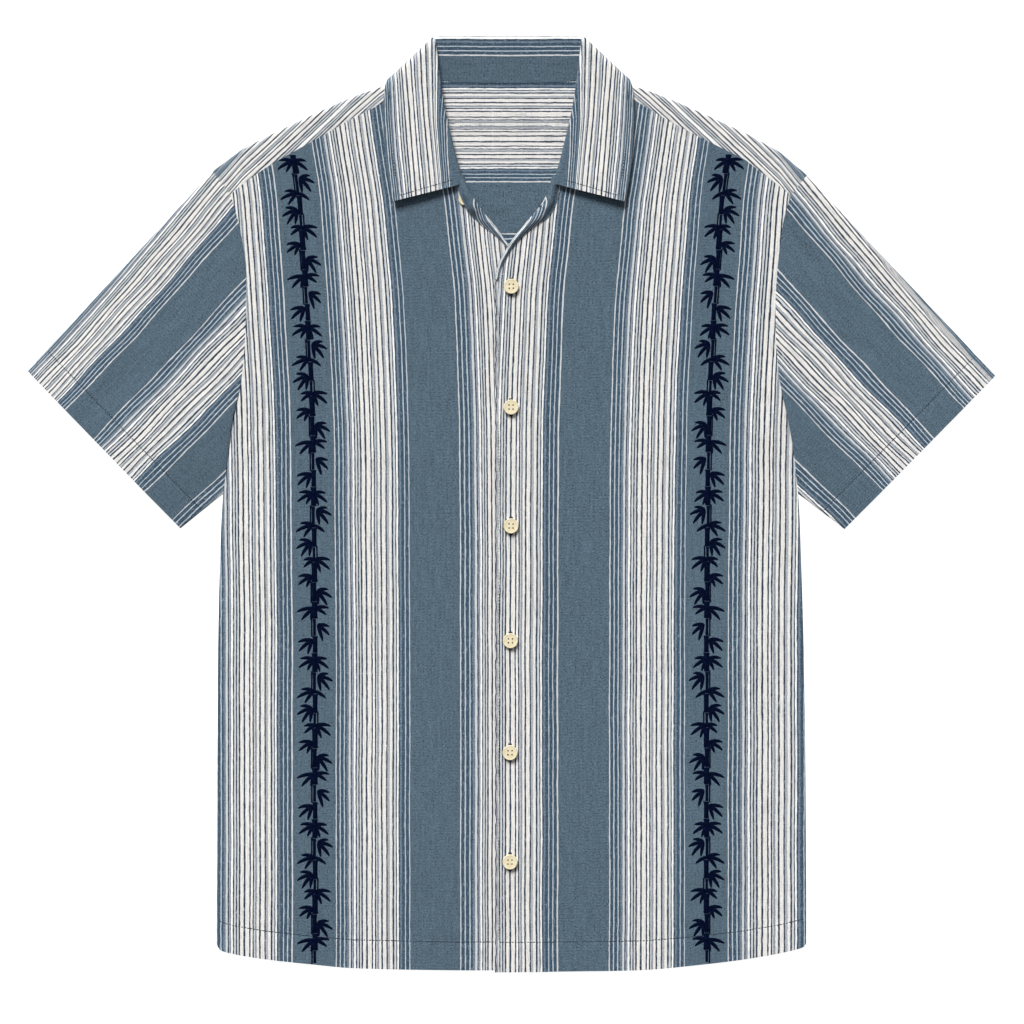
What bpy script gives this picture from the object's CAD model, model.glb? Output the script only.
import math

import bmesh
import bpy
from mathutils import Matrix, Vector


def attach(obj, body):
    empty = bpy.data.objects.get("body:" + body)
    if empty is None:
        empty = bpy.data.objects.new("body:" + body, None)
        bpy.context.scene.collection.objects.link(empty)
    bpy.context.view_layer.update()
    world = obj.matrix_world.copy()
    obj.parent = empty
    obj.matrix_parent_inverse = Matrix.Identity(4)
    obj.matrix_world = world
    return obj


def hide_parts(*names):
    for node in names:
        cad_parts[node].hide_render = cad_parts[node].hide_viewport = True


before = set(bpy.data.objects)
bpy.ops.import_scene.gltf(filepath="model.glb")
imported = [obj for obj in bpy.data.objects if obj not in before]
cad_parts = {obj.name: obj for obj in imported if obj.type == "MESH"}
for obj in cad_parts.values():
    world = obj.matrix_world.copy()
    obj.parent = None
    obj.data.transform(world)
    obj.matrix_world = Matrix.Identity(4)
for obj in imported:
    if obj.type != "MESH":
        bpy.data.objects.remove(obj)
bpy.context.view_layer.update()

# A short-sleeved camp shirt, buttoned and laid flat on its back.
# Tables are in millimetres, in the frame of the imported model: +Z up out of the fronts,
# +Y towards the collar, the wearer's right side at -X.

MM = 0.001

# Cloth
WALL = 1.4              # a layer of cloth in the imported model
CLOTH = 0.8             # a layer of cloth that shows
COLLAR_CLOTH = 1.15     # the collar's layers, pressed together
AIR = 3.6               # most air between the back and the fronts
AIR_EDGE = 60           # how far in from the sides it is full
AIR_HALF_WIDTH = (258, 318)     # at the underarm and at the yoke
SEAM_GAP = 0.3
SEAM_WIDTH = 2.6        # strip that a seam pulls down
SIDE_SEAM_DIP = 0.75
ARMHOLE_DIP = 0.35
HEM_DEPTH = 25
HEM_EASE = 0.8          # half of the slope at the inner edge of a hem
HEM_STEP = 0.5
HEM_RISE = 0.6 * HEM_STEP
HEM_AIR = 0.35          # share of the air that is left at the hem
HEM_AIR_Y = (-412, -290)        # where that share begins and ends
PUCKER = 0.22           # how deep the hem's stitches pull
PUCKER_WIDTH = 2.2
OVERLAP_LIFT = WALL + SEAM_GAP + HEM_STEP
OVERLAP_END_X = 19.5
OVERLAP_EASE = 26
BACK_YOKE_Y = 216.8
BUTTON_STAND_X = 13.5
PLACKET_EDGE_X = -14.6
PLACKET_ROW_IN = 3.2    # from the placket's edge to its row of stitches
TOP_FRONT_DROP = 1.5    # how far the left front hangs below the right one
UNDERARM_Y = 8.9
ARMHOLE_TOP_Y = 272.0
COLLAR_CENTRE_X = -2.6
YOKE_BACK_OUT = 78
YOKE_FOLD_OUT = 87.4
YOKE_NECK_OUT = 85.6
NECK_CLEARANCE = 1.1
BACK_NECK_RAISE = 1.75
ROLL_RADIUS = 1.9

# Side seams and armholes from the hem to the shoulder: y, right x, left x
SIDE_EDGE = [
    (-387.1, -259.9, 259.3), (-348.4, -259.9, 259.4), (-207.6, -259.0, 258.5),
    (-119.6, -258.4, 257.0), (-31.6, -256.2, 254.3), (UNDERARM_Y, -254.0, 252.4),
    (38.8, -250.3, 249.3), (74.0, -245.7, 243.3), (104.8, -238.5, 236.4),
    (140.0, -234.7, 232.8), (179.6, -233.6, 232.1), (213.0, -234.0, 234.4),
    (248.2, -240.3, 239.0), (272.0, -247.2, 245.6),
]

# Lower edge of the body: x, y
HEM = [
    (-259.9, -387.1), (-257.0, -392.5), (-247.3, -395.8), (-220.4, -400.3),
    (-171.9, -405.6), (-139.6, -408.5), (-49.8, -410.4), (60.5, -410.2),
    (117.6, -409.3), (158.8, -405.8), (202.0, -400.9), (237.3, -395.2),
    (256.5, -390.5), (259.3, -387.1),
]

# Folded edge over the shoulders: distance from the middle, right y, left y
SHOULDER = [
    (88, 374.5, 373.2), (105, 369.5, 368.4), (118, 366.5, 365.0), (140, 359.0, 356.8),
    (175, 343.2, 341.5), (210, 326.6, 325.0), (236, 313.6, 310.5), (263, 293.6, 287.6),
]

# Seam between yoke and fronts: distance from the middle, right y, left y
FRONT_YOKE_SEAM = [
    (80, 367.0, 367.0), (110, 354.0, 353.8), (140, 339.0, 335.8), (172, 320.6, 319.3),
    (205, 302.6, 302.8), (230, 286.5, 283.6), (247, 272.4, 270.8),
]

# Open edges of the fronts, from the buttons up to the collar: x, y
OPENING = {
    "right": [
        (BUTTON_STAND_X, 205.0), (8.0, 216.0), (-1.8, 227.1), (-10.6, 239.0),
        (-22.5, 254.0), (-34.1, 268.8), (-39.4, 277.4), (-45.6, 279.0),
    ],
    "left": [
        (PLACKET_EDGE_X, 174.3), (-14.1, 189.7), (-12.7, 200.2), (-9.8, 209.7),
        (-1.7, 225.4), (9.9, 243.8), (25.6, 262.6), (33.8, 277.0), (40.4, 279.0),
    ],
}

# Turned edges of the facings, and the rolled edge below them:
# neck edge x and y, outer edge x and y
TURNED_EDGE = {
    "right": [
        (-42.4, 289.0, -50.5, 287.0), (-40.6, 281.5, -47.6, 279.0), (-36.6, 272.6, -44.6, 269.4),
        (-30.4, 262.6, -38.4, 258.2), (-21.6, 251.4, -28.4, 246.8), (-12.8, 241.4, -16.8, 238.0),
        (-7.7, 234.2, -10.2, 232.2), (-2.6, 227.2, -4.6, 225.8),
    ],
    "left": [
        (36.6, 288.0, 44.2, 289.0), (33.8, 277.6, 41.8, 278.2), (30.0, 266.4, 39.2, 264.6),
        (23.8, 257.6, 32.0, 252.2), (17.4, 250.8, 22.8, 245.6), (9.9, 242.4, 13.6, 238.4),
        (2.4, 233.6, 5.6, 230.6), (-2.6, 226.2, 0.2, 224.0), (-7.7, 217.4, -4.8, 215.6),
        (-12.0, 207.8, -9.2, 206.6), (-14.3, 197.2, -11.4, 197.0),
    ],
}

# Collar from the middle of the back to the front end of a leaf:
# turn, then out, y and z of the neck seam, of the roll and of the free edge
COLLAR = [
    (-90, 0, 370.8, 2.6, 0, 411.0, 4.2, 0, 362, 0.75),
    (-90, 24, 371.0, 2.6, 24, 411.2, 4.2, 26, 362, 0.75),
    (-90, 46, 371.9, 2.6, 46, 411.3, 4.2, 56, 360, 0.75),
    (-90, 68, 374.2, 2.7, 60, 411.0, 4.4, 84, 358, 0.75),
    (-80, 84, 377.2, 2.9, 64, 410.2, 4.8, 98.5, 366, 0.75),
    (-40, 88.0, 379.0, 3.9, 64.9, 409.8, 5.4, 103.4, 372.4, 1.9),
    (0, 89.4, 379.4, 4.8, 65.2, 409.2, 6.2, 105.4, 374.2, 4.4),
    (40, 88.6, 377.6, 5.6, 65.0, 408.2, 7.1, 107.4, 370.6, 7.0),
    (80, 85.4, 373.0, 6.0, 64.2, 405.4, 7.8, 109.0, 364.0, 8.8),
    (90, 83.4, 360, 6.0, 63.0, 396, 8.0, 110.0, 351.5, 9.2),
    (90, 80.6, 345, 6.0, 61.2, 380, 8.0, 110.2, 337.0, 9.4),
    (90, 75.6, 329, 6.0, 58.8, 363, 8.0, 109.5, 322.0, 9.7),
    (90, 68.8, 313, 6.0, 55.6, 344, 8.0, 108.2, 307.0, 10.1),
    (90, 60.0, 300, 6.0, 51.0, 324, 8.0, 106.6, 292.0, 10.6),
    (90, 52.4, 292, 6.0, 45.8, 303, 8.1, 104.4, 278.5, 11.2),
    (90, 45.4, 286.2, 6.2, 39.6, 281, 8.3, 101.3, 265.4, 12.0),
]

# Sleeves as laid: corners of the hem and upper end of the armhole
SLEEVE = {
    "right": {
        "hem_top": (-426.5, 117.5), "hem_under": (-291.5, -21.6), "shoulder": (-263.4, 293.4),
    },
    "left": {
        "hem_top": (426.5, 113.5), "hem_under": (293.0, -22.2), "shoulder": (260.4, 288.9),
    },
}

# Middles of the buttons
BUTTONS = [
    (-0.3, 191.0), (-0.5, 85.0), (-0.5, -19.3), (-1.0, -120.0), (-1.4, -218.2), (-1.4, -314.1),
]
NECK_BUTTON = (-41.6, 267.6)
# Radius and thickness, width of the rim, depth of the dish, radius of a hole, and how far the
# holes stand out from the middle
BUTTON_SIZES = (6.65, 2.9, 0.9, 0.22, 0.72, 1.75)
NECK_BUTTON_SIZES = (5.0, 2.0, 0.8, 0.25, 0.65, 1.2)

# Large soft waves: x, y, angle, length, width, depth
WAVES = [
    (-150, 120, 62, 190, 46, 0.9), (160, 95, 118, 170, 42, 0.8), (-120, -150, 78, 240, 52, 0.8),
    (135, -205, 101, 210, 48, 0.9), (-205, -60, 70, 150, 36, 0.7), (214, -40, 112, 150, 36, 0.7),
    (-330, 125, 46, 130, 30, 0.7), (332, 120, 134, 130, 30, 0.7),
]

# Pressed-in creases, troughs below zero and ridges above it: x, y, angle, length, width, height
CREASES = [
    (-228, 40, 48, 70, 12, -0.5), (-214, 62, 40, 60, 10, 0.35), (-205, 18, 62, 90, 14, -0.4),
    (226, 38, 134, 74, 12, -0.5), (210, 66, 142, 58, 10, 0.35), (206, 6, 116, 84, 15, -0.4),
    (-66, 150, 84, 120, 15, -0.35), (-92, 30, 96, 150, 18, 0.3), (-70, -90, 88, 110, 12, -0.3),
    (64, 140, 95, 110, 14, -0.35), (84, 10, 82, 140, 17, 0.3), (72, -130, 93, 120, 13, -0.3),
    (-182, -250, 84, 120, 16, -0.4), (-110, -300, 97, 90, 13, 0.3), (-42, -262, 91, 100, 10, -0.3),
    (178, -270, 98, 110, 16, -0.4), (112, -320, 84, 80, 13, 0.3), (40, -210, 88, 110, 10, -0.3),
    (-190, 210, 74, 80, 14, -0.35), (188, 214, 105, 84, 14, -0.35), (-120, 240, 98, 70, 12, 0.3),
    (118, 232, 82, 76, 12, 0.3), (-28, 60, 90, 60, 8, -0.25), (24, 34, 88, 50, 8, -0.22),
    (-26, -70, 92, 64, 8, -0.25), (26, -160, 90, 60, 8, -0.22), (-24, -268, 89, 50, 8, -0.25),
    (-352, 96, 44, 90, 13, -0.45), (-300, 170, 50, 100, 16, -0.4), (-318, 66, 38, 70, 11, 0.3),
    (-376, 140, 52, 60, 10, 0.3), (-280, 96, 58, 110, 14, -0.4), (-284, 40, 34, 52, 10, -0.35),
    (350, 100, 136, 84, 13, -0.45), (304, 176, 130, 90, 16, -0.4), (322, 62, 142, 74, 11, 0.3),
    (372, 132, 128, 64, 10, 0.3), (282, 90, 122, 104, 14, -0.4), (286, 36, 146, 56, 10, -0.35),
    (249, 234, 120, 54, 8, -1.7), (266, 212, 128, 34, 7, -1.2), (286, 190, 130, 48, 9, 1.2),
    (300, 140, 150, 36, 8, -0.7), (268, 176, 132, 34, 7, -1.1), (330, 20, 138, 34, 8, -0.8),
    (-252, 226, 52, 38, 8, -0.6), (-268, 190, 74, 30, 7, -0.5), (-300, 150, 38, 42, 9, 0.5),
    (-290, 120, 28, 34, 8, -0.5), (-366, 92, 66, 26, 7, -0.5), (-332, 30, 60, 36, 8, -0.5),
]

# Creases of the back and of the yoke behind, which lie the other way up
BACK_CREASES = [
    (-140, 60, 70, 160, 22, 0.3), (120, 20, 108, 150, 20, 0.28), (-60, -180, 84, 170, 20, 0.3),
    (90, -260, 97, 140, 18, 0.26), (-200, -100, 66, 120, 18, 0.3), (206, -140, 112, 110, 18, 0.28),
    (0, 120, 92, 120, 16, 0.24), (-30, 300, 88, 60, 16, 0.12), (36, 270, 94, 60, 14, 0.12),
]

# One repeat of the woven stripes, in 122 marks: where each yarn colour starts
REPEAT = 107.4
MARKS = 122
MARK = REPEAT / MARKS
STRIPES = [
    (0, "pinkish"), (0.5, "deep"), (3.6, "steel"), (4.7, "deep"), (7.7, "steel"), (8.8, "deep"),
    (10.6, "slate"), (12.7, "light"), (14.7, "pin"), (15.95, "mauve"), (16.9, "slate"),
    (17.85, "bright"), (19.75, "pin"), (21.0, "light"), (22.75, "pin"), (23.9, "light"),
    (25.4, "pin"), (27.0, "cream"), (30.2, "pin"), (31.9, "cream"), (35.6, "pin"),
    (37.1, "white"),
    (39.1, "pin"), (40.25, "light"), (41.15, "grey"), (43.15, "cream"), (45.45, "pin"),
    (47.0, "cream"), (50.75, "charcoal"), (52.0, "mottled"), (54.1, "cream"), (56.85, "pin"),
    (58.5, "light"), (60.15, "navy"), (61.3, "bright"), (62.8, "dark"), (64.2, "blue"),
    (66.1, "deep"), (68.9, "steel"), (70.1, "deep"), (73.2, "lilac"), (74.3, "deep"),
    (77.5, "pinkish"), (78.7, "ground"), (121.5, "pinkish"),
]
HALFWAY = 22            # how many of them the first ramp takes
LAST_PIN_LEFT_OUT = 74.3
FULL = 10               # whole repeats added where no pin is left out
YARNS = {
    "white": "#F2F0ED", "bright": "#FAF9F6", "cream": "#ECE9E4", "light": "#CDD0D1",
    "lilac": "#C0C9D1", "pinkish": "#D2D3D4", "mauve": "#A4A9B3", "steel": "#B8C2CA",
    "grey": "#92989F", "mottled": "#A9AEB3", "blue": "#6C7C8B", "slate": "#707E8B",
    "ground": "#516472", "deep": "#3C5264", "navy": "#2F4154", "dark": "#2F4255",
    "pin": "#27364A", "charcoal": "#33394A",
}
# Marks that the collar's table and the back are placed by
WHITE_13, PIN_30, MOTTLED, GROUND = 13.2, 30.6, 52.3, 79.1

# Fronts: x in the lower half, and the mark of the stripes there
FRONT_MARKS = {
    "right": [
        (-257.8, 6.0), (-215.9, 52.3), (-192.9, 78.4), (-154.3, 122), (-108.9, 174.3),
        (-89.9, 195.6), (-44.9, 244), (-29.1, 259.8), (-15.5, 277),
    ],
    "left": [
        (-14.3, 16), (17.1, 52.3), (40.3, 78.4), (86.2, 122), (132.6, 174.3), (151.8, 195.6),
        (190.3, 244), (240.9, 296.3), (256.9, 313),
    ],
}

# How far the fronts' stripes lean outward: y, near the middle, at the embroidery
LEAN = [
    (-420, 0, 0), (-119.6, 0, 0), (-66.8, 0.2, 0.4), (-14, 0.4, 1.0), (38.8, 0.7, 1.4),
    (74, 1.1, 2.1), (109.2, 2.1, 3.4), (144.4, 3.3, 5.3), (179.6, 5.0, 7.2), (197.2, 6.4, 8.4),
    (214.8, 8.4, 9.7), (232.4, 10.2, 11.1), (250, 11.8, 12.3), (267.6, 13.9, 13.7),
    (285.2, 17.2, 15.9), (311.6, 21.1, 20.2), (370, 29.0, 29.0),
]

# Inside of the yoke: y, and the mark of the stripes there
YOKE_MARKS = [
    (200, 158.5), (233.8, 126.2), (238.9, 121.5), (284.4, 78.1), (296.5, 62.1),
    (321.9, 27.6), (334.3, 45.3), (343.3, 33.1), (365.3, 62.1), (373.2, 71), (420, 120),
]

# Leaves of the collar: y, then the distance out of four marks of the stripes
LEAF_MARKS = [
    (265.0, 94.9, 81.3, 62.4, 50.4), (276.4, 96.1, 82.2, 63.4, 51.4),
    (306.3, 99.4, 84.7, 66.0, 53.4), (337.1, 101.7, 87.1, 69.2, 54.0),
    (368.8, 103.0, 89.8, 71.0, 50.5), (411.9, 105.2, 92.9, 72.2, 48.0),
]

# Sleeves: distance from the top fold along the hem, and the mark of the stripes there
SLEEVE_MARKS = {
    "right": [
        (-200, -199), (0, 1.5), (5, 14.5), (49.3, 79.1), (84.1, 122), (149.2, 201.1), (183.9, 244),
        (200, 261),
    ],
    "left": [
        (-200, 400), (0, 199), (5, 186), (7.5, 163.5), (40.5, 122), (77.4, 79.1), (142.4, 0),
        (176.4, -43), (200, -70),
    ],
}

# Strip in front of a shoulder: slanting distance from its outer end, and the mark of the stripes
STRIP_MARKS = [(0, 91), (6, 79.5), (14, 61), (58, 18), (96, 57)]
STRIP_SLOPE = 0.9

# Turned facings: shares of the edge between which the thin lines cross over to the neck edge
FACING_LINES = {"right": (0.3, 0.6), "left": (0.18, 0.44)}

# Embroidered columns: x in the lower half
BAMBOO_X = {"right": -173.0, "left": 171.5}

# One length of the embroidered bamboo, down from its top:
# distance of the knot, how far it stands beside the cane, then the leaves from it as
# angle from straight down (outward on the right above zero) and length
BAMBOO_LENGTH = 146
BAMBOO_MARGIN = 1.5     # bare cloth at the seam and at the hem
SPRAY_DEPTH = 13        # a spray nearer than this to the hem is left out
SPRAYS = [
    (5, 0.5, [(-98, 10), (-62, 13.5), (-27, 11), (34, 10.5), (66, 14), (100, 11)]),
    (20, -2.6, [(-112, 8.5), (-78, 12.5), (-44, 14.5), (-12, 12)]),
    (33, 0.8, [(-64, 11), (40, 12), (74, 14.5), (106, 10)]),
    (48, 2.4, [(108, 9.5), (72, 13), (38, 14), (8, 11.5)]),
    (63, -0.6, [(-94, 12), (-60, 14.5), (-26, 11.5), (58, 11), (92, 9)]),
    (78, 2.2, [(96, 10.5), (62, 12.5), (28, 10)]),
    (91, -2.2, [(-106, 9), (-72, 13), (-38, 14), (-6, 11)]),
    (106, 0.4, [(-66, 11), (84, 14), (50, 14), (18, 10), (-98, 11.5)]),
    (121, -2.4, [(-90, 9.5), (-54, 12.5), (-20, 13.5)]),
    (134, 2.0, [(88, 11.5), (54, 14), (20, 12)]),
]
# Cane: distance of each joint, half of the width below it, and a thin second cane's offset
THIN_CANE = 0.75        # half of the second cane's width
SHORTEST_CANE = 3
CANES = [
    (0, 2.6, 0), (17, 1.5, 3.4), (36, 2.4, 0), (53, 1.3, -3.2), (66, 2.8, 0),
    (84, 2.1, 3.6), (101, 2.7, 0), (116, 1.4, 3.3), (131, 2.3, 0), (146, 2.6, 0),
]

COLOURS = {
    "sewing thread": "#222D3C", "buttonhole thread": "#303B4B",
    "satin thread": "#050E2A", "satin shadow": "#020716", "satin gloss": "#0D1C40",
    "button": "#F0E5C6", "button cloud": "#E3D5AC", "paper": "#B4B4B3", "lit paper": "#FCFCFC",
    "studio": "#FBFCFF",
}
SIDES = ("right", "left")


# Reading of tables and edges

def mix(a, b, t):
    return a + (b - a) * t


def mix_flat(a, b, t):
    """A flat point between two others."""
    return [mix(a[k], b[k], t) for k in (0, 1)]


def smooth(start, end, value):
    t = min(max((value - start) / (end - start), 0.0), 1.0)
    return t * t * (3 - 2 * t)


def read(table, at, column=1):
    """Straight-line reading of a column against the first one, which rises."""
    for before, after in zip(table, table[1:]):
        if at <= after[0]:
            break
    return mix(before[column], after[column], (at - before[0]) / (after[0] - before[0]))


def curve(s, a, b, pull_a, pull_b):
    """A cubic curve from a to b, read at its share s."""
    return (
        (2 * s**3 - 3 * s**2 + 1) * a + (s**3 - 2 * s**2 + s) * pull_a
        + (3 * s**2 - 2 * s**3) * b + (s**3 - s**2) * pull_b
    )


def edge_through(points):
    """A smooth flat edge through points, read by its share of the length."""
    steps = [0.0]
    for a, b in zip(points, points[1:]):
        steps.append(steps[-1] + math.dist(a, b))
    last = len(points) - 1

    def at(t):
        reach = min(max(t, 0.0), 1.0) * steps[-1]
        k = 1
        while k < last and steps[k] < reach:
            k += 1
        span = steps[k] - steps[k - 1]
        lo, hi = max(k - 2, 0), min(k + 1, last)
        spot = []
        for axis in (0, 1):
            a, b = points[k - 1][axis], points[k][axis]
            pull_a = (b - points[lo][axis]) / (steps[k] - steps[lo]) * span
            pull_b = (points[hi][axis] - a) / (steps[hi] - steps[k - 1]) * span
            spot.append(curve((reach - steps[k - 1]) / span, a, b, pull_a, pull_b))
        return spot

    return at


def between(low, high, near, far):
    """A flat patch between four edges: low and high run across, near and far upwards."""
    def at(u, v):
        across, up = mix_flat(near(v), far(v), u), mix_flat(low(u), high(u), v)
        corners = mix_flat(mix_flat(low(0), low(1), u), mix_flat(high(0), high(1), u), v)
        return [across[k] + up[k] - corners[k] for k in (0, 1)]

    return at


def heading(a, b):
    """The flat direction from a to b."""
    length = math.dist(a, b)
    return [(b[k] - a[k]) / length for k in (0, 1)]


def shifted(spot, ahead, reach):
    """The flat point at a reach ahead of a spot."""
    return [spot[k] + ahead[k] * reach for k in (0, 1)]


def folds_at(table, x, y):
    """Height that the troughs and ridges of a table give to a point."""
    total = 0.0
    for fold_x, fold_y, angle, length, width, height in table:
        if abs(x - fold_x) > length or abs(y - fold_y) > length:
            continue
        turn = math.radians(angle)
        along = (x - fold_x) * math.cos(turn) + (y - fold_y) * math.sin(turn)
        across = (y - fold_y) * math.cos(turn) - (x - fold_x) * math.sin(turn)
        total += height * math.exp(-((2 * along / length) ** 2) - (2 * across / width) ** 2)
    return total


def sign_of(side):
    return -1 if side == "right" else 1


def column_of(side):
    return 1 if side == "right" else 2


def from_collar(side, out):
    return COLLAR_CENTRE_X + sign_of(side) * out


# Heights of the body

def upper_layer(x, y):
    """Underside of the fronts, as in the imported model."""
    half = mix(*AIR_HALF_WIDTH, smooth(UNDERARM_Y, BACK_YOKE_Y, y))
    sides = smooth(0, AIR_EDGE, half - abs(x))
    hem = mix(HEM_AIR, 1, smooth(*HEM_AIR_Y, y))
    return WALL + SEAM_GAP + AIR * sides * hem - folds_at(WAVES, x, y) * sides


def turned_hem(from_hem, phase):
    """What a turned-up hem adds: its step, less the dips that its stitches pull."""
    step = HEM_RISE * smooth(HEM_DEPTH + HEM_EASE, HEM_DEPTH - HEM_EASE, from_hem)
    stitched = math.exp(-(((from_hem - HEM_DEPTH) / PUCKER_WIDTH) ** 2))
    return step - PUCKER * stitched * (1 + 0.8 * math.sin(phase))


def side_edge(side, y):
    return read(SIDE_EDGE, y, column_of(side))


def front_middle(side, x, y):
    """Height of the middle of a front's cloth."""
    in_from_side = abs(side_edge(side, y)) - abs(x)
    height = upper_layer(x, y) + WALL / 2
    height += turned_hem(y - read(HEM, x), x / 2.1 + 2 * math.sin(x / 13))
    height += folds_at(CREASES, x, y) * smooth(0, 12, in_from_side)
    if side == "left":
        height += OVERLAP_LIFT * smooth(OVERLAP_END_X + OVERLAP_EASE, OVERLAP_END_X, x)
        stitched = math.exp(-(((x - PLACKET_EDGE_X - PLACKET_ROW_IN) / 1.2) ** 2))
        height -= 0.3 * stitched * smooth(250, 200, y)
    dip = SIDE_SEAM_DIP if y < UNDERARM_Y else ARMHOLE_DIP
    return height - dip * smooth(SEAM_WIDTH, 0, in_from_side)


def front_top(side, x, y):
    return front_middle(side, x, y) + CLOTH / 2


def neck_raise(x, y):
    """How far the collar's end lifts the yoke behind the neck."""
    return BACK_NECK_RAISE * smooth(132, 112, abs(x)) * smooth(318, 352, y)


def neck_seam_y(out):
    """The collar's seam behind the neck, in the first rows of the collar's table."""
    return read([(row[1], row[2]) for row in COLLAR if row[0] <= 0], out)


# Pieces of cloth

def place_object(name, data):
    made = bpy.data.objects.new(name, data)
    bpy.context.collection.objects.link(made)
    return made


def finish_piece(name, bm, material, node=None, wall=0.0):
    """The object of a finished bmesh, with its wall, its finish and the node that it stands for."""
    mesh = bpy.data.meshes.new(name)
    for face in bm.faces:
        face.smooth = True
    for edge in bm.edges:
        if wall and edge.is_boundary:
            edge.smooth = False
    bm.to_mesh(mesh)
    bm.free()
    mesh.materials.append(material)
    piece = place_object(name, mesh)
    if wall:
        shell = piece.modifiers.new("wall", "SOLIDIFY")
        shell.thickness = wall * MM
        shell.offset = 0
    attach(piece, "root")
    if node:
        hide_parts(node)
    return piece


def cloth_grid(columns, rows, place, stripes, kept=None, turned=False, tube=False, wander=1.0):
    """A fine grid of cloth: place(u, v) gives its points and stripes(u, v, point) their spots in
    the pattern, kept(u, v) picks its faces, and wander is how far the stripes stray."""
    bm = bmesh.new()
    pattern = bm.loops.layers.uv.new("stripes")
    stray = bm.verts.layers.float.new("wander")
    bmesh.ops.create_grid(bm, x_segments=columns, y_segments=rows, size=0.5)
    if kept:
        spare = []
        for face in bm.faces:
            u, v, _ = face.calc_center_median()
            if not kept(u + 0.5, v + 0.5):
                spare.append(face)
        bmesh.ops.delete(bm, geom=spare, context="FACES")
    for vert in bm.verts:
        u, v = vert.co.x + 0.5, vert.co.y + 0.5
        point = place(u, v)
        vert[stray] = wander
        vert.co = Vector(point) * MM
        spot = stripes(u, v, point)
        for loop in vert.link_loops:
            loop[pattern].uv = spot
    if tube:
        bmesh.ops.remove_doubles(bm, verts=bm.verts, dist=1e-6)
    if turned:
        bmesh.ops.reverse_faces(bm, faces=bm.faces)
    return bm


def front_stripes(side, x, y):
    """Spot in the pattern on a front, whose stripes lean out from the middle and sway a little."""
    lean = mix(read(LEAN, y, 1), read(LEAN, y, 2), smooth(60, 170, abs(x)))
    sway = 0.12 * math.sin(y / 31 + x / 47) + 0.1 * math.sin(y / 17.3 + 2 + x / 23)
    mark = read(FRONT_MARKS[side], x - sign_of(side) * lean + sway)
    return mark / MARKS, y / REPEAT


def hem_between(start, end, drop):
    """The body's hem from x to x, drop below the table."""
    rows = [(x, y - drop) for x, y in HEM if start < x < end]
    return edge_through([(start, read(HEM, start) - drop), *rows, (end, read(HEM, end) - drop)])


def yoke_seam(side):
    """The seam between the yoke and a front, from the armhole to the neck."""
    ends = side_edge(side, ARMHOLE_TOP_Y), from_collar(side, YOKE_NECK_OUT)
    steps = [mix(*ends, k / 12) for k in range(13)]
    return edge_through([(x, read(FRONT_YOKE_SEAM, abs(x), column_of(side))) for x in steps])


def make_front(side, material):
    """A front, from its side seam to its opening and from the hem to the yoke."""
    seam = yoke_seam(side)
    opening_x, drop = (BUTTON_STAND_X, 0) if side == "right" else (PLACKET_EDGE_X, TOP_FRONT_DROP)
    rim = edge_through([(row[column_of(side)], row[0]) for row in SIDE_EDGE[:-1]] + [seam(0)])
    low = hem_between(min(rim(0)[0], opening_x), max(rim(0)[0], opening_x), drop)
    hem = low if side == "right" else (lambda t: low(1 - t))
    under_collar = [
        (from_collar(side, row[1] + NECK_CLEARANCE), row[2] - NECK_CLEARANCE)
        for row in reversed(COLLAR) if row[0] == 90
    ]
    opening = edge_through([hem(1), *OPENING[side], *under_collar, seam(1)])
    patch = between(hem, seam, rim, opening)

    def place(u, v):
        x, y = patch(u, v)
        return x, y, front_middle(side, x, y)

    def stripes(u, v, point):
        return front_stripes(side, point[0], point[1])

    bm = cloth_grid(84, 250, place, stripes, turned=side == "left")
    name = f"{side}_front_cloth"
    return finish_piece(name, bm, material, f"front_{side}", CLOTH)


def make_back(material):
    """The back, from the hem to its yoke seam."""
    top = BACK_YOKE_Y, side_edge("right", BACK_YOKE_Y), side_edge("left", BACK_YOKE_Y)
    rows = [row for row in SIDE_EDGE if row[0] < BACK_YOKE_Y] + [top]
    right = edge_through([(row[1], row[0]) for row in rows])
    left = edge_through([(row[2], row[0]) for row in rows])
    across = edge_through([right(1), left(1)])
    patch = between(hem_between(right(0)[0], left(0)[0], 0), across, right, left)

    def place(u, v):
        x, y = patch(u, v)
        side = "right" if x < 0 else "left"
        seam = smooth(SEAM_WIDTH, 0, abs(side_edge(side, y)) - abs(x))
        return x, y, WALL / 2 + folds_at(BACK_CREASES, x, y) * (1 - seam) + 0.4 * seam

    mottled_x = -40.3       # where a mottled stripe runs

    def stripes(u, v, point):
        return (point[0] - mottled_x) / REPEAT + MOTTLED / MARKS + FULL, point[1] / REPEAT

    bm = cloth_grid(120, 140, place, stripes, turned=True)
    return finish_piece("back_cloth", bm, material, "back", CLOTH)


# The yoke's rows: behind up to BEHIND, over the shoulder up to OVER, then on the front
BEHIND, OVER = 0.6, 0.74
# Its columns: the right shoulder up to the first share, then the neck, then the left shoulder
NECK_FROM, NECK_TO = 0.36, 0.64


def yoke_behind(x, y):
    """A point of the yoke's lower layer."""
    return x, y, WALL / 2 + neck_raise(x, y) + folds_at(BACK_CREASES, x, y)


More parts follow.
